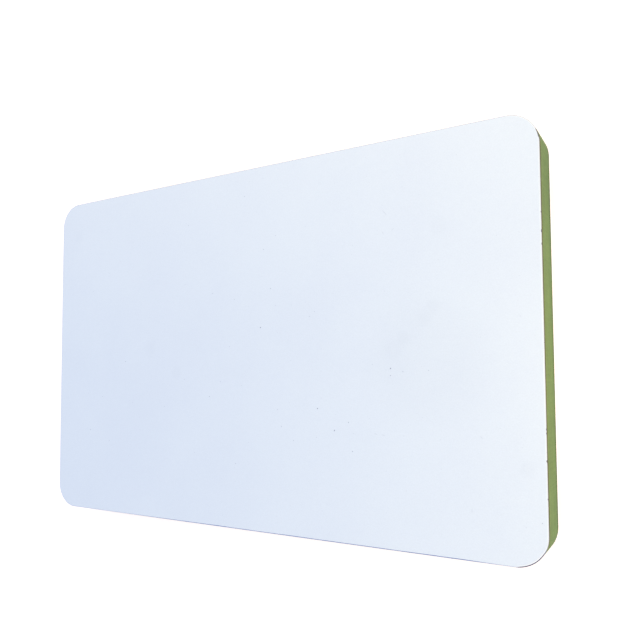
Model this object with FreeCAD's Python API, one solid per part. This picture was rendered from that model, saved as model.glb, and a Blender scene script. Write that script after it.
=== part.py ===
import FreeCAD, Part
import math
import os

# Melamine faced fibreboard, lying flat with its decor face up.
# Frame: X along the board's length, Y along its width, +Z up out of the decor face.
# The origin is on the underside, below the middle of the board. All sizes are in millimetres.

# Finished panel, measured over both films
BOARD_LENGTH = 250.0
BOARD_WIDTH = 160.0
BOARD_THICKNESS = 18.0

# Routed corners, seen from above
CORNER_RADIUS = 11.6

# Melamine films, pressed on to both faces of the fibreboard
FRONT_FILM_THICKNESS = 0.2
BACK_FILM_THICKNESS = 0.2

# The outer arris of each film, eased by sanding after the panel is cut
FILM_EASE_RADIUS = 0.12

# An ease never takes more than this much of a film's thickness
FILM_EASE_SHARE = 0.8

# Heights that follow from the sizes above
CORE_BOTTOM = BACK_FILM_THICKNESS
CORE_TOP = BOARD_THICKNESS - FRONT_FILM_THICKNESS


def corner_arc(side_x, side_y, start_angle, height):
    """A quarter round of the outline, counter-clockwise, at one corner of the panel."""
    centre_x = side_x * (BOARD_LENGTH / 2 - CORNER_RADIUS)
    centre_y = side_y * (BOARD_WIDTH / 2 - CORNER_RADIUS)

    def point(angle):
        turn = math.radians(angle)
        x = centre_x + CORNER_RADIUS * math.cos(turn)
        y = centre_y + CORNER_RADIUS * math.sin(turn)
        return FreeCAD.Vector(x, y, height)

    return Part.Arc(point(start_angle), point(start_angle + 45.0), point(start_angle + 90.0))


def panel_outline(height):
    """Closed outline of the panel at a height: four corner arcs and the straight edges tangent to them."""
    arcs = [
        corner_arc(1, 1, 0.0, height),
        corner_arc(-1, 1, 90.0, height),
        corner_arc(-1, -1, 180.0, height),
        corner_arc(1, -1, 270.0, height),
    ]
    edges = []
    for arc, next_arc in zip(arcs, arcs[1:] + arcs[:1]):
        straight = Part.LineSegment(arc.EndPoint, next_arc.StartPoint)
        edges += [arc.toShape(), straight.toShape()]
    return Part.Wire(edges)


def panel_layer(bottom, top):
    """One flat layer of the panel, between two heights."""
    face = Part.Face(panel_outline(bottom))
    return face.extrude(FreeCAD.Vector(0, 0, top - bottom))


def rim_edges(layer, height):
    """The edges of a layer that lie all round one of its faces."""
    tolerance = 1e-6
    rim = []
    for edge in layer.Edges:
        box = edge.BoundBox
        if abs(box.ZMin - height) < tolerance and abs(box.ZMax - height) < tolerance:
            rim.append(edge)
    return rim


def fibreboard_core():
    """Pressed fibre core, sawn and routed square on all sides."""
    return panel_layer(CORE_BOTTOM, CORE_TOP)


def melamine_film(bottom, top, outer_face):
    """Film on one face of the core, with the arris of its outer face eased."""
    film = panel_layer(bottom, top)
    ease = min(FILM_EASE_RADIUS, FILM_EASE_SHARE * (top - bottom))
    return film.makeFillet(ease, rim_edges(film, outer_face))


NODES = {
    "fibreboard_core": fibreboard_core(),
    "front_melamine_film": melamine_film(CORE_TOP, BOARD_THICKNESS, BOARD_THICKNESS),
    "back_melamine_film": melamine_film(0.0, CORE_BOTTOM, 0.0),
}

os.makedirs("parts", exist_ok=True)
for name, shape in NODES.items():
    shape.exportStep("parts/" + name + ".step")
    print(name, "valid", shape.isValid(), "volume mm3", round(shape.Volume, 1))
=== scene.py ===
import math
import random

import bmesh
import bpy
from mathutils import Matrix, Vector


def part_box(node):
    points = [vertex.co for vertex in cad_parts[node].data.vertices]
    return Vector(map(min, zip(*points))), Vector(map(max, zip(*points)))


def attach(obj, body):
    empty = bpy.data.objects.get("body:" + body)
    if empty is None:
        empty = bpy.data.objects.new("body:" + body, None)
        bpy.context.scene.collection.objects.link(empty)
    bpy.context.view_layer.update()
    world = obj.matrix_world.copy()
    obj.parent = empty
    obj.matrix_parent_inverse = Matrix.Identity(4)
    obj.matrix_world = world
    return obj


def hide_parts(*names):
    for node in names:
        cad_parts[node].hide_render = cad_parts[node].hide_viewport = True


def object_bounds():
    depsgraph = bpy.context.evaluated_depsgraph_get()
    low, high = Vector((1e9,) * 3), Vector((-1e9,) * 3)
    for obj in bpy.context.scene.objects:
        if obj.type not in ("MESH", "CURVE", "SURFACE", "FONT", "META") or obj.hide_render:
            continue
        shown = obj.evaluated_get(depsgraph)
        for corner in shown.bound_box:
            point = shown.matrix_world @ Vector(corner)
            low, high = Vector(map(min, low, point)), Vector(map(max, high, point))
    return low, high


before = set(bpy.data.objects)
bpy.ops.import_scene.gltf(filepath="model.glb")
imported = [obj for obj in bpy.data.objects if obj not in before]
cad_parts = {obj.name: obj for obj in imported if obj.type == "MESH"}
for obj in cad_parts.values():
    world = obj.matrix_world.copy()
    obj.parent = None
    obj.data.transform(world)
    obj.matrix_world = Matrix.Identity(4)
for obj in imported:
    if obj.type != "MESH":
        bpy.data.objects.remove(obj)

CAD_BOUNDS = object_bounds()
MM = 0.001

# Sizes read from the frame
PANEL_LOW, PANEL_HIGH = CAD_BOUNDS
HALF_LENGTH = PANEL_HIGH.x
HALF_WIDTH = PANEL_HIGH.y
FACE_HEIGHT = PANEL_HIGH.z
BACK_HEIGHT = PANEL_LOW.z
CORE_LOW, CORE_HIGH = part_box("fibreboard_core")
CORE_MIDDLE = (CORE_LOW.z + CORE_HIGH.z) / 2
CORE_HALF_THICKNESS = (CORE_HIGH.z - CORE_LOW.z) / 2
# Points closer than this to a plane lie in it
FLUSH = 0.001 * MM


def corner_radius():
    """Plan radius of the corners: how far the straight end edge stops short of the panel's side."""
    end_edge = [
        abs(vertex.co.y)
        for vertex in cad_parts["fibreboard_core"].data.vertices
        if HALF_LENGTH - vertex.co.x < FLUSH
    ]
    return HALF_WIDTH - max(end_edge)


CORNER_RADIUS = corner_radius()
CORNER_SEGMENTS = 28
FILM_EASE = 0.07 * MM
FILM_EASE_SEGMENTS = 3
# The film's face rolls off to its rim in steps, from the rim inwards: width and rise of each
ROLL_STEPS = ((0.20 * MM, 0.075 * MM), (0.20 * MM, 0.035 * MM))
ROLL_DROP = sum(rise for width, rise in ROLL_STEPS)
FLAT_RING_WIDTH = 0.4 * MM
# Edges that turn by less than this are shaded smooth
SMOOTH_BELOW = math.radians(20)

# The photograph's camera, in the panel's frame. The shift is the photograph's framing.
PHOTO_SIZE = 640
SENSOR_WIDTH = 36.0
CAMERA_LENS = 35.86
CAMERA_SHIFT = 0.0406
CAMERA_PLACE = Vector((0.16730, -0.01470, 0.24640))
CAMERA_AIM = Vector((0.03591, -0.00064, 0.01800))
CAMERA_ROLL = math.radians(-0.335)


def camera_turn():
    """The camera's axes: it looks from its place at its aim, with the panel's +Y up, and rolls a little."""
    back = (CAMERA_PLACE - CAMERA_AIM).normalized()
    right = Vector((0, 1, 0)).cross(back).normalized()
    level = Matrix((right, back.cross(right), back)).transposed()
    return level @ Matrix.Rotation(CAMERA_ROLL, 3, "Z")


def on_face(pixel):
    """The point of the decor face that the photograph shows at a pixel."""
    focal = CAMERA_LENS / SENSOR_WIDTH * PHOTO_SIZE
    across = (pixel[0] + 0.5 - PHOTO_SIZE / 2) / focal
    down = (pixel[1] + 0.5 - PHOTO_SIZE * (0.5 + CAMERA_SHIFT)) / focal
    ray = camera_turn() @ Vector((across, -down, -1))
    return CAMERA_PLACE + ray * (FACE_HEIGHT - CAMERA_PLACE.z) / ray.z


# Modelling

def start_alone(piece):
    """Selects one piece and nothing else."""
    bpy.ops.object.select_all(action="DESELECT")
    piece.select_set(True)
    bpy.context.view_layer.objects.active = piece


def select_edges(piece, wanted):
    """In edit mode, selects the edges whose two ends pass a test."""
    bpy.ops.mesh.select_mode(type="EDGE")
    bpy.ops.mesh.select_all(action="DESELECT")
    mesh = bmesh.from_edit_mesh(piece.data)
    for edge in mesh.edges:
        edge.select_set(wanted(edge.verts[0].co, edge.verts[1].co))
    bmesh.update_edit_mesh(piece.data)


def select_face(piece, side):
    """In edit mode, selects the wide face on the upper side, 1, or the lower side, -1."""
    bpy.ops.mesh.select_mode(type="FACE")
    bpy.ops.mesh.select_all(action="DESELECT")
    mesh = bmesh.from_edit_mesh(piece.data)
    wide = max(mesh.faces, key=lambda face: side * face.normal.z * face.calc_area())
    wide.select_set(True)
    bmesh.update_edit_mesh(piece.data)


def routed_slab(name, low, high):
    """A slab of the panel between two heights, with its corners routed round. It is left in edit mode."""
    bpy.ops.object.select_all(action="DESELECT")
    size = (2 * HALF_LENGTH, 2 * HALF_WIDTH, high - low)
    bpy.ops.mesh.primitive_cube_add(size=1, location=(0, 0, (low + high) / 2), scale=size)
    piece = bpy.context.object
    piece.name = name
    piece.data.name = name
    bpy.ops.object.transform_apply(location=True, rotation=True, scale=True)
    bpy.ops.object.mode_set(mode="EDIT")
    select_edges(piece, lambda a, b: abs(a.z - b.z) > (high - low) / 2)
    bpy.ops.mesh.bevel(offset=CORNER_RADIUS, segments=CORNER_SEGMENTS, affect="EDGES")
    return piece


def sawn_core():
    """The fibreboard between the films, with square arrises."""
    piece = routed_slab("sawn_core", CORE_LOW.z, CORE_HIGH.z)
    bpy.ops.object.mode_set(mode="OBJECT")
    return piece


def pressed_film(name, glued, outer):
    """A film from the core to an outer height. Its rim rolls down to the cut, and its arris is eased."""
    side = 1 if outer > glued else -1
    rolled = outer - side * ROLL_DROP
    near = ROLL_DROP / 10
    piece = routed_slab(name, min(glued, rolled), max(glued, rolled))
    select_edges(piece, lambda a, b: abs(a.z - rolled) < near and abs(b.z - rolled) < near)
    bpy.ops.mesh.bevel(offset=FILM_EASE, segments=FILM_EASE_SEGMENTS, affect="EDGES")
    select_face(piece, side)
    for width, rise in ROLL_STEPS:
        bpy.ops.mesh.inset(thickness=width)
        bpy.ops.transform.translate(value=(0, 0, side * rise))
    bpy.ops.mesh.inset(thickness=FLAT_RING_WIDTH)
    bpy.ops.object.mode_set(mode="OBJECT")
    return piece


# Chips in the arrises

# Those that the photograph shows along the end edge: the pixel and the radius in millimetres
END_EDGE_CHIPS = (
    ((540.5, 211.0), 0.30),
    ((541.5, 230.0), 0.42),
    ((542.0, 243.0), 0.38),
    ((546.0, 429.0), 0.34),
    ((546.0, 433.0), 0.30),
    ((547.0, 461.0), 0.50),
    ((547.0, 499.0), 0.34),
)
# Small ones: how many round each arris, their radii, and the part of its stretch that each keeps to
SMALL_CHIPS = 40
SMALL_CHIP_RADII = (0.06, 0.16)
SMALL_CHIP_SPREAD = (0.15, 0.85)
# The length along the arris and the depth, in radii
CHIP_LENGTHS = (0.9, 1.5)
CHIP_DEPTH = 0.20
CHIP_SEED = 31
FLAKE_ROUGHNESS = 0.16
FLAKE_SEED = 5


def outline_point(share):
    """A point of the panel's outline, by its share of the way round, and the outward direction there."""
    straight_x = HALF_LENGTH - CORNER_RADIUS
    straight_y = HALF_WIDTH - CORNER_RADIUS
    quarter = CORNER_RADIUS * math.pi / 2
    # The length and start of each straight side, and the centre of the corner that follows it
    sides = (
        (2 * straight_y, Vector((HALF_LENGTH, -straight_y)), Vector((straight_x, straight_y))),
        (2 * straight_x, Vector((straight_x, HALF_WIDTH)), Vector((-straight_x, straight_y))),
        (2 * straight_y, Vector((-HALF_LENGTH, straight_y)), Vector((-straight_x, -straight_y))),
        (2 * straight_x, Vector((-straight_x, -HALF_WIDTH)), Vector((straight_x, -straight_y))),
    )
    run = share * sum(length + quarter for length, start, centre in sides)
    for turn, (length, start, centre) in enumerate(sides):
        angle = turn * math.pi / 2 + max(run - length, 0) / CORNER_RADIUS
        outward = Vector((math.cos(angle), math.sin(angle)))
        if run < length:
            return start + run * Vector((-outward.y, outward.x)), outward
        if run < length + quarter:
            return centre + CORNER_RADIUS * outward, outward
        run -= length + quarter


def small_chips(draw):
    """Small chips all round an arris, each in its own stretch of it, so that none meets the next."""
    places = []
    for stretch in range(SMALL_CHIPS):
        point, outward = outline_point((stretch + draw.uniform(*SMALL_CHIP_SPREAD)) / SMALL_CHIPS)
        places.append((point, outward, draw.uniform(*SMALL_CHIP_RADII) * MM))
    return places


def photographed_chips():
    """The chips that the photograph shows along the end edge."""
    outward = Vector((1, 0))
    return [
        (Vector((HALF_LENGTH, on_face(pixel).y)), outward, radius * MM)
        for pixel, radius in END_EDGE_CHIPS
    ]


def flake_shape():
    """One broken-out flake: a rough ball of radius 1, to copy and flatten."""
    bpy.ops.object.select_all(action="DESELECT")
    bpy.ops.mesh.primitive_ico_sphere_add(subdivisions=2, radius=1)
    flake = bpy.context.object
    bpy.ops.object.mode_set(mode="EDIT")
    bpy.ops.mesh.select_all(action="SELECT")
    bpy.ops.transform.vertex_random(offset=FLAKE_ROUGHNESS, seed=FLAKE_SEED)
    bpy.ops.object.mode_set(mode="OBJECT")
    return flake


def chip_cutter(height, places, draw):
    """All the flakes of one arris in one shape that cuts them out."""
    flake = flake_shape()
    copies = []
    for point, outward, radius in places:
        copy = flake.copy()
        copy.data = flake.data.copy()
        bpy.context.collection.objects.link(copy)
        copies.append(copy)
        size = (radius, radius * draw.uniform(*CHIP_LENGTHS), radius * CHIP_DEPTH, 1)
        spin = Matrix.Rotation(draw.uniform(0, math.tau), 4, "Z")
        turn = Matrix.Rotation(math.atan2(outward.y, outward.x), 4, "Z")
        place = Matrix.Translation((point.x, point.y, height))
        copy.data.transform(place @ turn @ Matrix.Diagonal(size) @ spin)
    bpy.data.objects.remove(flake)
    bpy.ops.object.select_all(action="DESELECT")
    for copy in copies:
        copy.select_set(True)
    bpy.context.view_layer.objects.active = copies[0]
    bpy.ops.object.join()
    return bpy.context.object


def chip_away(cutter, *pieces):
    """Takes a cutter's chips out of some pieces, and the cutter away."""
    for piece in pieces:
        start_alone(piece)
        modifier = piece.modifiers.new("chips", "BOOLEAN")
        modifier.operation = "DIFFERENCE"
        modifier.solver = "EXACT"
        modifier.use_self = True
        modifier.object = cutter
        bpy.ops.object.modifier_apply(modifier=modifier.name)
    bpy.data.objects.remove(cutter)


# Shader maths

class Value:
    """A socket whose value varies over a surface. Arithmetic on it adds Math nodes."""

    def __init__(self, finish, socket):
        self.finish = finish
        self.socket = socket

    def other(self, output):
        """Another output of the same node."""
        return Value(self.finish, self.socket.node.outputs[output])

    def maths(self, operation, *others):
        return self.finish.node("Math", {"operation": operation}, dict(enumerate((self, *others))))

    def __add__(self, other):
        return self.maths("ADD", other)

    __radd__ = __add__

    def __sub__(self, other):
        return self.maths("SUBTRACT", other)

    def __rsub__(self, other):
        return self * -1 + other

    def __mul__(self, other):
        return self.maths("MULTIPLY", other)

    __rmul__ = __mul__

    def __abs__(self):
        return self.maths("ABSOLUTE")

    def least(self, other):
        return self.maths("MINIMUM", other)

    def most(self, other):
        return self.maths("MAXIMUM", other)

    def step(self, start, end):
        """0 at start and 1 at end, and smooth between them. Start may be the larger."""
        sockets = {"Value": self, "From Min": start, "From Max": end}
        return self.finish.node("MapRange", {"interpolation_type": "SMOOTHSTEP"}, sockets)


class Finish:
    """The nodes of one material, or of the world."""

    def __init__(self, owner):
        owner.use_nodes = True
        self.owner = owner
        self.tree = owner.node_tree
        self.tree.nodes.clear()

    def node(self, kind, settings=None, sockets=None, output=0):
        """Adds a node, sets it up, fills its sockets with numbers or links, and gives one output."""
        new = self.tree.nodes.new("ShaderNode" + kind)
        for name, setting in (settings or {}).items():
            setattr(new, name, setting)
        for name, value in (sockets or {}).items():
            if isinstance(value, Value):
                self.tree.links.new(value.socket, new.inputs[name])
            else:
                new.inputs[name].default_value = value
        return Value(self, new.outputs[output])

    def place(self):
        """The point on the piece, in metres."""
        return self.node("TexCoord", output="Object")

    def axis(self, place, name):
        """The X, Y or Z of a point."""
        return self.node("SeparateXYZ", {}, {0: place}, output=name)

    def mapped(self, place, kind="POINT", **sockets):
        return self.node("Mapping", {"vector_type": kind}, {"Vector": place, **sockets})

    def noise(self, place, lumps, detail, roughness):
        """Cloudy noise about 0, with so many lumps to the metre."""
        sockets = {"Vector": place, "Scale": lumps, "Detail": detail, "Roughness": roughness}
        return self.node("TexNoise", {}, sockets) - 0.5

    def mix(self, share, first, second):
        """A colour between two colours."""
        return self.node("Mix", {"data_type": "RGBA"}, {0: share, 6: first, 7: second}, output=2)

    def shaded(self, colour, factor):
        """A colour made lighter or darker."""
        return self.node("VectorMath", {"operation": "SCALE"}, {0: colour, "Scale": factor})

    def bump(self, height, distance):
        return self.node("Bump", {}, {"Height": height, "Distance": distance, "Strength": 1.0})

    def surface(self, shader, owner_kind="Material"):
        """Puts the last shader on the output, and gives the material or world that owns it."""
        end = self.tree.nodes.new("ShaderNodeOutput" + owner_kind)
        self.tree.links.new(shader.socket, end.inputs["Surface"])
        return self.owner


def srgb(red, green, blue):
    """A display colour, 0 to 255, as the linear colour that a shader takes, by the sRGB standard."""
    def linear(value):
        value /= 255
        return value / 12.92 if value <= 0.04045 else ((value + 0.055) / 1.055) ** 2.4

    return (linear(red), linear(green), linear(blue), 1.0)


# Melamine film

PALE_WHITE = srgb(228, 236, 248)
DUSKY_WHITE = srgb(224, 232, 246)
# Arris line: partly the film's cut edge, partly painted shade
ARRIS_LINE_AND_SHADE_GREY = srgb(110, 132, 188)
# Brown lip of painted shade at the corner of the -Y side and the +X end
LIP_SHADE_BROWN = srgb(84, 73, 104)
# Grey painted shade at the corner of the +Y side and the +X end
CORNER_SHADE_GREY = srgb(98, 100, 104)
# The film's torn paper in the chips, darkened with painted shade
CHIP_GREY = srgb(122, 118, 146)
# Painted highlight along the rim of the +X end
HIGHLIGHT_WHITE = srgb(241, 246, 252)
SPECK_GREY = srgb(112, 122, 158)
FILM_ROUGHNESS = 0.62
FILM_SHINE = 0.26
# Noise in the film: lumps to the metre, levels of detail, and how strong the finer levels are
CLOUD = (19.0, 4.0, 0.6)
MOTTLE = (500.0, 3.0, 0.6)
GRAIN = (1900.0, 2.0, 0.7)
# How much the noise and the worn arris change the film's tone, roughness and relief
TONE_SPAN = (-0.35, 0.35)
MOTTLE_TONE = 0.4
GRAIN_TONE = 0.09
MOTTLE_ROUGHNESS = 0.10
GRAIN_ROUGHNESS = 0.12
ARRIS_ROUGHNESS = 0.2
MOTTLE_RELIEF = 0.6
GRAIN_RELIEF = 0.5
FILM_RELIEF = 0.03 * MM
# Moves the back film's pattern, so that it isn't the front film's
BACK_SHIFT = (4.3, 2.9, 0.0)

# The arris shows as a thin grey line, partly the film's cut edge and partly painted shade, but not at the
# clean +X end: where that begins and is full
ARRIS_WIDTH = 0.06 * MM
CLEAN_END = (HALF_LENGTH - 8 * MM, HALF_LENGTH - 2 * MM)
# A painted highlight lies along the rim of the +X end and its corners: where that begins, and how far it
# reaches in
HIGHLIGHT_END = (HALF_LENGTH - 13 * MM, HALF_LENGTH - 10 * MM)
HIGHLIGHT_RIM = (0.50 * MM, 0.30 * MM)
# Along the -Y side the arris line is widened with painted shade, from part of the way towards +X to just
# before its end
SHADED_SIDE = (-HALF_WIDTH + 6 * MM, -HALF_WIDTH + 2 * MM)
SHADED_FROM = (-HALF_LENGTH + 35 * MM, -HALF_LENGTH + 100 * MM)
SHADED_STOP = (HALF_LENGTH - 15 * MM, HALF_LENGTH - 27 * MM)
SHADED_WIDTH = 0.24 * MM
# Round the corner between the -Y side and the +X end the arris is a brown lip of painted shade
LIP_SIDE = (-HALF_WIDTH + 8 * MM, -HALF_WIDTH + 5 * MM)
LIP_END = (HALF_LENGTH - 12 * MM, HALF_LENGTH - 9.6 * MM)
LIP_WIDTH = 0.30 * MM
# A short stretch of the corner between the +Y side and the +X end has grey painted shade on its arris
CORNER_SHADE_START = (HALF_WIDTH - 10.6 * MM, HALF_WIDTH - 9.6 * MM)
CORNER_SHADE_STOP = (HALF_WIDTH - 6.3 * MM, HALF_WIDTH - 7.3 * MM)
CORNER_SHADE_WIDTH = 0.26 * MM
# The arris line and its painted shade have a soft edge, and their width swings with noise in the way of the
# film's
ARRIS_SOFTNESS = 0.04 * MM
ARRIS_LUMPS = (130.0, 2.0, 0.5)
ARRIS_SWING = 1.2
# Where a chip has sunk this far below the rolled rim, it shows the film's torn paper, darkened with painted
# shade
CHIP_SUNK = (0.015 * MM, 0.045 * MM)

# Specks in the decor paper: strength, radius in millimetres, and the pixels where the photograph shows them
SPECKS = (
    (0.85, 0.28, ((317, 408), (390, 368), (334, 430), (260, 327))),
    (0.46, 0.26, ((390, 375), (352, 451), (270, 288), (348, 422), (125, 361), (209, 396), (90, 429))),
    (0.34, 0.25, ((281, 426), (293, 440), (263, 249), (235, 463), (188, 225), (244, 196), (542, 523))),
    (0.26, 0.25, ((402, 371), (428, 370), (277, 409), (309, 316), (314, 311), (212, 293), (220, 381))),
    (0.21, 0.27, ((184, 379), (164, 406), (109, 440), (234, 299), (275, 235), (229, 346), (102, 396))),
    (0.15, 0.27, ((372, 364), (316, 437), (241, 385), (275, 305), (194, 452), (132, 402), (93, 291))),
)

# Faint wide darker patches on the film, in the same way
DARK_PATCHES = (
    (0.030, 26.0, ((425, 358),)),
    (0.024, 3.2, ((432, 306), (424, 317), (403, 338), (176, 372), (527, 469))),
    (0.018, 4.2, ((437, 225), (78, 236), (150, 348), (392, 350))),
)

# Scuffs in the film, each between two pixels where the photograph shows its ends
SCUFFS = (
    ((381.6, 209.6), (386.1, 214.6)),
    ((391.0, 229.9), (393.2, 227.8)),
    ((381.9, 231.6), (382.9, 233.4)),
    ((402.0, 370.6), (403.6, 371.7)),
    ((374.2, 433.2), (376.4, 434.0)),
    ((381.4, 434.2), (384.4, 434.9)),
    ((480.2, 436.2), (482.0, 438.0)),
    ((471.4, 508.9), (471.5, 512.2)),
)
SCUFF_WIDTH = 0.19 * MM
SCUFF_STRENGTH = 0.13
# Where a mark begins and is full, in shares of its own size, and how far its edge wobbles
MARK_EDGE = (1.25, 0.45)
WOBBLE = 0.23 * MM
WOBBLE_LUMPS = 3700.0

# Dust specks too faint to place one by one
DUST_PER_METRE = 136.0
DUST_EDGE = (0.032, 0.012)
DUST_SHARE = (0.60, 1.0)
DUST_STRENGTH = 0.16


def oval_distance(film, place, middle, size, turn=0.0):
    """Distance from the middle of an oval mark, which is 1 at its edge."""
    centred = film.mapped(place, "TEXTURE", Location=middle, Rotation=(0, 0, turn), Scale=size)
    return film.node("VectorMath", {"operation": "LENGTH"}, {0: centred}, output="Value")


def marks_of(distances, strength):
    """The marks whose distances these are, as one mask."""
    nearest = distances[0]
    for distance in distances[1:]:
        nearest = nearest.least(distance)
    return nearest.step(*MARK_EDGE) * strength


def round_marks(film, place, strength, radius, pixels):
    """Round marks of one strength and one radius in millimetres, at their pixels."""
    size = (radius * MM, radius * MM, radius * MM)
    return marks_of([oval_distance(film, place, on_face(pixel), size) for pixel in pixels], strength)


def scuff_distance(film, place, ends):
    """Distance from the middle of a scuff, in the way of oval_distance."""
    start, end = (on_face(pixel) for pixel in ends)
    along = end - start
    size = (along.length / 2 + SCUFF_WIDTH, SCUFF_WIDTH, SCUFF_WIDTH)
    return oval_distance(film, place, (start + end) / 2, size, math.atan2(along.y, along.x))


def wobbled(film, place):
    """The point on the piece, moved a little at random along the face."""
    sockets = {"Vector": place, "Scale": WOBBLE_LUMPS, "Detail": 1.0}
    wobble = film.node("TexNoise", {}, sockets, output="Color")
    sockets = {0: wobble, 1: (WOBBLE, WOBBLE, 0), 2: (-WOBBLE / 2, -WOBBLE / 2, 0)}
    shift = film.node("VectorMath", {"operation": "MULTIPLY_ADD"}, sockets)
    return film.node("VectorMath", {"operation": "ADD"}, {0: place, 1: shift})


def photographed_marks(film, place):
    """The specks, darker patches and scuffs that the photograph shows on the decor face."""
    uneven = wobbled(film, place)
    marks = marks_of([scuff_distance(film, uneven, ends) for ends in SCUFFS], SCUFF_STRENGTH)
    for specks in SPECKS:
        marks = marks.most(round_marks(film, uneven, *specks))
    for patches in DARK_PATCHES:
        marks = marks + round_marks(film, uneven, *patches)
    return marks


def dust(film, place):
    """Faint specks strewn at random over the film."""
    sockets = {"Vector": place, "Scale": DUST_PER_METRE}
    cells = film.node("TexVoronoi", {"voronoi_dimensions": "2D"}, sockets, output="Distance")
    lot = film.axis(cells.other("Color"), "X")
    return cells.step(*DUST_EDGE) * lot.step(*DUST_SHARE) * DUST_STRENGTH


def rim_distance(film, place):
    """How far a point lies inside the panel's outline."""
    past_x = abs(film.axis(place, "X")) - (HALF_LENGTH - CORNER_RADIUS)
    past_y = abs(film.axis(place, "Y")) - (HALF_WIDTH - CORNER_RADIUS)
    corner_x = past_x.most(0.0)
    corner_y = past_y.most(0.0)
    reach = (corner_x * corner_x + corner_y * corner_y).maths("SQRT")
    return CORNER_RADIUS - reach - past_x.most(past_y).least(0.0)


def arris_line_and_shade_masks(film, place, inside):
    """The arris line with its painted shade, the brown lip and the grey shade painted at two of the
    corners, as masks.
    """
    x = film.axis(place, "X")
    y = film.axis(place, "Y")
    end = x.step(*CLEAN_END)
    lip = y.step(*LIP_SIDE) * x.step(*LIP_END)
    corner_shade = y.step(*CORNER_SHADE_START) * y.step(*CORNER_SHADE_STOP) * end
    side_shade = y.step(*SHADED_SIDE) * x.step(*SHADED_FROM) * x.step(*SHADED_STOP)
    uneven = film.noise(place, *ARRIS_LUMPS) * ARRIS_SWING + 1
    width = (1 - end) * ARRIS_WIDTH + side_shade * uneven * SHADED_WIDTH
    width = width + lip * LIP_WIDTH + corner_shade * uneven * CORNER_SHADE_WIDTH
    return (inside - width).step(ARRIS_SOFTNESS, 0.0), lip, corner_shade


def painted_highlight_rim(film, place, inside, lip):
    """A painted highlight along the rim of the +X end, as a mask. It lies inside the brown lip."""
    end = film.axis(place, "X").step(*HIGHLIGHT_END)
    return end * (inside - lip * LIP_WIDTH).step(*HIGHLIGHT_RIM)


def chipped(film, place, inside):
    """Where the film has broken out below the rolled surface of its rim."""
    drop = 0.0
    reach = 0.0
    left = ROLL_DROP
    for width, rise in ROLL_STEPS:
        slope = (inside - reach) * (-rise / width) + left
        drop = slope.most(drop)
        reach += width
        left -= rise
    height = abs(film.axis(place, "Z") - CORE_MIDDLE)
    return (FACE_HEIGHT - CORE_MIDDLE - drop - height).step(*CHIP_SUNK)


def melamine(name, shift, photographed=False):
    """White melamine film: satin, faintly clouded and mottled, with specks in its decor paper."""
    film = Finish(bpy.data.materials.new(name))
    place = film.place()
    moved = film.mapped(place, Location=shift)
    cloud = film.noise(moved, *CLOUD)
    mottle = film.noise(moved, *MOTTLE)
    grain = film.noise(moved, *GRAIN)
    tone = (cloud + mottle * MOTTLE_TONE).step(*TONE_SPAN)
    colour = film.mix(tone, DUSKY_WHITE, PALE_WHITE)
    colour = film.shaded(colour, 1 + grain * GRAIN_TONE)
    marks = dust(film, moved)
    if photographed:
        marks = marks.most(photographed_marks(film, place))
    colour = film.mix(marks, colour, SPECK_GREY)
    inside = rim_distance(film, place)
    arris, lip, corner_shade = arris_line_and_shade_masks(film, place, inside)
    # A painted highlight along the rim of the +X end
    colour = film.mix(painted_highlight_rim(film, place, inside, lip), colour, HIGHLIGHT_WHITE)
    # The arris line, partly real and partly painted shade, with the brown lip and grey corner of painted
    # shade
    arris_line_and_shade_colour = film.mix(corner_shade, film.mix(lip, ARRIS_LINE_AND_SHADE_GREY, LIP_SHADE_BROWN), CORNER_SHADE_GREY)
    colour = film.mix(arris, colour, arris_line_and_shade_colour)
    # The chips' torn paper, darkened with painted shade
    colour = film.mix(chipped(film, place, inside), colour, CHIP_GREY)
    roughness = FILM_ROUGHNESS + mottle * MOTTLE_ROUGHNESS + grain * GRAIN_ROUGHNESS
    relief = mottle * MOTTLE_RELIEF + grain * GRAIN_RELIEF
    sockets = {
        "Base Color": colour,
        "Roughness": roughness + arris * ARRIS_ROUGHNESS,
        "Normal": film.bump(relief, FILM_RELIEF),
        "Specular IOR Level": FILM_SHINE,
    }
    return film.surface(film.node("BsdfPrincipled", {}, sockets))


# Green fibreboard

FIBRE_GREEN = srgb(118, 139, 88)
FIBRE_OLIVE = srgb(124, 139, 87)
FIBRE_COOL = srgb(115, 138, 91)
FIBRE_STRAW = srgb(157, 165, 119)
FIBRE_DARK = srgb(92, 111, 63)
# Dark skins under the films, partly the board's dense skin and partly painted shade
FRONT_SKIN_AND_SHADE = srgb(91, 94, 56)
BACK_SKIN_AND_SHADE = srgb(82, 104, 58)
FIBRE_ROUGHNESS = 0.88
FIBRE_SHINE = 0.25
# Noise in the sawn fibre, in the way of the film's
BLOTCHES = (83.0, 2.0, 0.5)
FIBRES = (920.0, 4.0, 0.65)
FLECKS = (1660.0, 2.0, 0.6)
SAW_MARKS = (1350.0, 2.0, 0.5)
# The press has laid the fibres flat, and the saw's marks stand upright
PRESSED_FLAT = (1.0, 1.0, 3.2)
SAWN_UPRIGHT = (1.0, 1.0, 0.03)
# Moves the flecks, so that they don't follow the fibres
FLECK_SHIFT = (3.1, 1.7, 0.4)
# Straw and dark flecks: where in the noise each begins and is full, and how strong it is
STRAW_FLECKS = (0.12, 0.30)
STRAW_STRENGTH = 0.75
DARK_FLECKS = (-0.12, -0.30)
DARK_STRENGTH = 0.7
# Heights from the core's middle between which the tone changes
COOL_BAND = (-CORE_HALF_THICKNESS, 0.0)
OLIVE_BAND = (CORE_HALF_THICKNESS - 5 * MM, CORE_HALF_THICKNESS)
FRONT_SIDE = (-1 * MM, 1 * MM)
# How deep the dark skins and their painted shade reach, and how far they waver
SKIN_DEPTH = (2.5 * MM, 1.1 * MM)
BLOTCH_WAVER = 0.8 * MM
FIBRE_WAVER = 0.5 * MM
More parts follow.
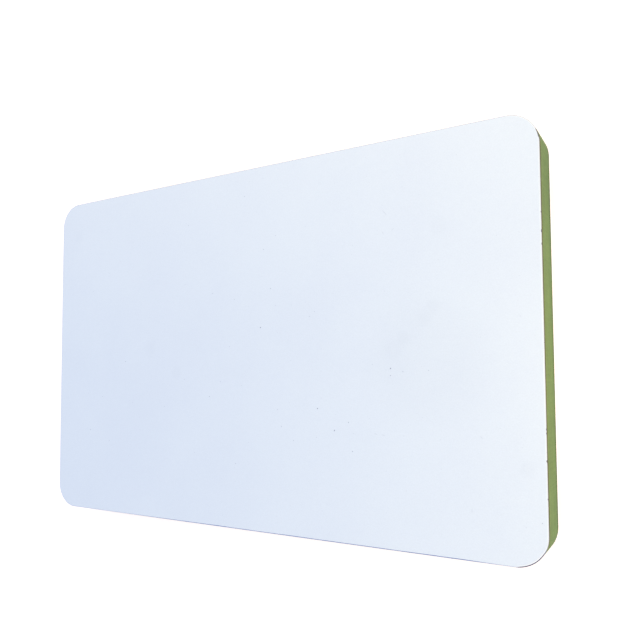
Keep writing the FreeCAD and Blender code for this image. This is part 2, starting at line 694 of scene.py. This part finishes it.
# How much the noise and the skins change the edge's shade, roughness and relief
BLOTCH_SHADE = 0.36
FIBRE_SHADE = 0.65
SAW_SHADE = 0.20
FIBRE_ROUGHENING = 0.15
SKIN_SMOOTHING = 0.12
FLECK_RELIEF = 0.4
SAW_RELIEF = 0.5
SAWN_RELIEF = 0.10 * MM


def fibreboard(name):
    """Sawn green fibreboard: fibres in flat layers, saw marks, and dense dark skins under the films,
    darkened with painted shade.
    """
    board = Finish(bpy.data.materials.new(name))
    place = board.place()
    height = board.axis(place, "Z") - CORE_MIDDLE
    depth = CORE_HALF_THICKNESS - abs(height)
    layers = board.mapped(place, Scale=PRESSED_FLAT)
    blotch = board.noise(layers, *BLOTCHES)
    fibre = board.noise(layers, *FIBRES)
    fleck = board.noise(board.mapped(layers, Location=FLECK_SHIFT), *FLECKS)
    saw = board.noise(board.mapped(place, Scale=SAWN_UPRIGHT), *SAW_MARKS)
    colour = board.mix(height.step(*COOL_BAND), FIBRE_COOL, FIBRE_GREEN)
    colour = board.mix(height.step(*OLIVE_BAND), colour, FIBRE_OLIVE)
    colour = board.mix(fleck.step(*STRAW_FLECKS) * STRAW_STRENGTH, colour, FIBRE_STRAW)
    colour = board.mix(fleck.step(*DARK_FLECKS) * DARK_STRENGTH, colour, FIBRE_DARK)
    skin_and_shade = (depth + blotch * BLOTCH_WAVER + fibre * FIBRE_WAVER).step(*SKIN_DEPTH)
    skin_and_shade_colour = board.mix(height.step(*FRONT_SIDE), BACK_SKIN_AND_SHADE, FRONT_SKIN_AND_SHADE)
    # The dark skins, partly the board's dense skin and partly painted shade
    colour = board.mix(skin_and_shade, colour, skin_and_shade_colour)
    shade = 1 + blotch * BLOTCH_SHADE + fibre * FIBRE_SHADE + saw * SAW_SHADE
    relief = fibre + fleck * FLECK_RELIEF + saw * SAW_RELIEF
    sockets = {
        "Base Color": board.shaded(colour, shade),
        "Roughness": FIBRE_ROUGHNESS + fibre * FIBRE_ROUGHENING - skin_and_shade * SKIN_SMOOTHING,
        "Normal": board.bump(relief, SAWN_RELIEF),
        "Specular IOR Level": FIBRE_SHINE,
    }
    return board.surface(board.node("BsdfPrincipled", {}, sockets))


# Pieces

def dress(piece, node, material):
    """Shades a piece crisply, gives it its finish, and puts it in its CAD node's place."""
    start_alone(piece)
    bpy.ops.object.shade_smooth_by_angle(angle=SMOOTH_BELOW)
    piece.data.materials.clear()
    piece.data.materials.append(material)
    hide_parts(node)
    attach(piece, "root")


def build_panel():
    """The core and its two films, with their chips and finishes."""
    core = sawn_core()
    front = pressed_film("front_film", CORE_HIGH.z, FACE_HEIGHT)
    back = pressed_film("back_film", CORE_LOW.z, BACK_HEIGHT)
    draw = random.Random(CHIP_SEED)
    front_places = photographed_chips() + small_chips(draw)
    chip_away(chip_cutter(FACE_HEIGHT - ROLL_DROP, front_places, draw), front, core)
    back_places = small_chips(draw)
    chip_away(chip_cutter(BACK_HEIGHT + ROLL_DROP, back_places, draw), back, core)
    dress(core, "fibreboard_core", fibreboard("green_fibreboard"))
    front_finish = melamine("front_melamine", (0.0, 0.0, 0.0), photographed=True)
    dress(front, "front_melamine_film", front_finish)
    back_finish = melamine("back_melamine", BACK_SHIFT)
    dress(back, "back_melamine_film", back_finish)


# Floor, light and camera

FLOOR_SIZE = 4.0
FLOOR_GAP = 0.1 * MM
FLOOR_WHITE = srgb(248, 248, 248)
# What lifts the lit floor to white
FLOOR_LIFT = (0.478, 0.378, 0.375, 1.0)
# Warm lamps over a cool even light
AMBIENT = (0.555, 0.667, 0.884, 1.0)
LAMP_TINT = (1.0, 0.76, 0.28)
# Each lamp's name, its place, the point that it faces, its width and height, and its power
LAMPS = (
    ("long", (0.28, 0.02, 0.24), (0.125, 0.02, 0.018), (0.45, 0.08), 0.222),
    ("upper", (0.18, 0.28, 0.18), (0.1, 0, 0), (0.2, 0.2), 0.352),
    ("lower", (0.18, -0.28, 0.18), (0.1, 0, 0), (0.2, 0.2), 0.238),
    ("far", (-0.2, 0.28, 0.25), (0, 0, 0), (0.2, 0.2), 0.345),
    ("near", (-0.22, -0.26, 0.2), (0, 0, 0), (0.2, 0.2), 0.140),
    ("end", (0.2, -0.013, 0.04), (0.125, -0.013, 0.009), (0.05, 0.05), 0.023),
)


def seen(finish):
    """1 for a ray from the camera, a reflection or through glass, and 0 for one that gathers light."""
    ray = finish.node("LightPath", output="Is Camera Ray")
    return ray.most(ray.other("Is Glossy Ray")).most(ray.other("Is Transmission Ray"))


def floor_finish():
    """Plain pale floor that keeps its shadow. The camera and reflections see it lifted to white."""
    floor = Finish(bpy.data.materials.new("pale_floor"))
    diffuse = floor.node("BsdfDiffuse", {}, {"Color": FLOOR_WHITE})
    lift = floor.node("Emission", {}, {"Color": FLOOR_LIFT, "Strength": seen(floor)})
    return floor.surface(floor.node("AddShader", {}, {0: diffuse, 1: lift}))


def lay_floor():
    bpy.ops.object.select_all(action="DESELECT")
    bpy.ops.mesh.primitive_plane_add(size=FLOOR_SIZE, location=(0, 0, -FLOOR_GAP))
    floor = bpy.context.object
    floor.name = "floor"
    floor.data.materials.append(floor_finish())


def light_world():
    """Even light from all round, behind which the camera and reflections see white."""
    sky = Finish(bpy.data.worlds.new("studio"))
    ambient = sky.node("Background", {}, {"Color": AMBIENT})
    white = sky.node("Background", {}, {"Color": (1, 1, 1, 1)})
    light = sky.node("MixShader", {}, {0: seen(sky), 1: ambient, 2: white})
    bpy.context.scene.world = sky.surface(light, "World")


def softbox(name, place, aim, size, power):
    """A flat lamp, of a width and a height, that faces a point."""
    lamp = bpy.data.lights.new(name, "AREA")
    lamp.shape = "RECTANGLE"
    lamp.size, lamp.size_y = size
    lamp.energy = power
    lamp.color = LAMP_TINT
    holder = bpy.data.objects.new(name, lamp)
    holder.location = place
    holder.rotation_euler = (Vector(aim) - Vector(place)).to_track_quat("-Z", "Y").to_euler()
    bpy.context.scene.collection.objects.link(holder)


def set_camera():
    camera = bpy.data.cameras.new("camera")
    camera.sensor_width = SENSOR_WIDTH
    camera.lens = CAMERA_LENS
    camera.shift_y = CAMERA_SHIFT
    holder = bpy.data.objects.new("camera", camera)
    holder.matrix_world = Matrix.Translation(CAMERA_PLACE) @ camera_turn().to_4x4()
    bpy.context.scene.collection.objects.link(holder)
    bpy.context.scene.camera = holder


def build_studio():
    lay_floor()
    light_world()
    for lamp in LAMPS:
        softbox(*lamp)
    set_camera()


bpy.context.scene.view_settings.view_transform = "Standard"
build_panel()
build_studio()
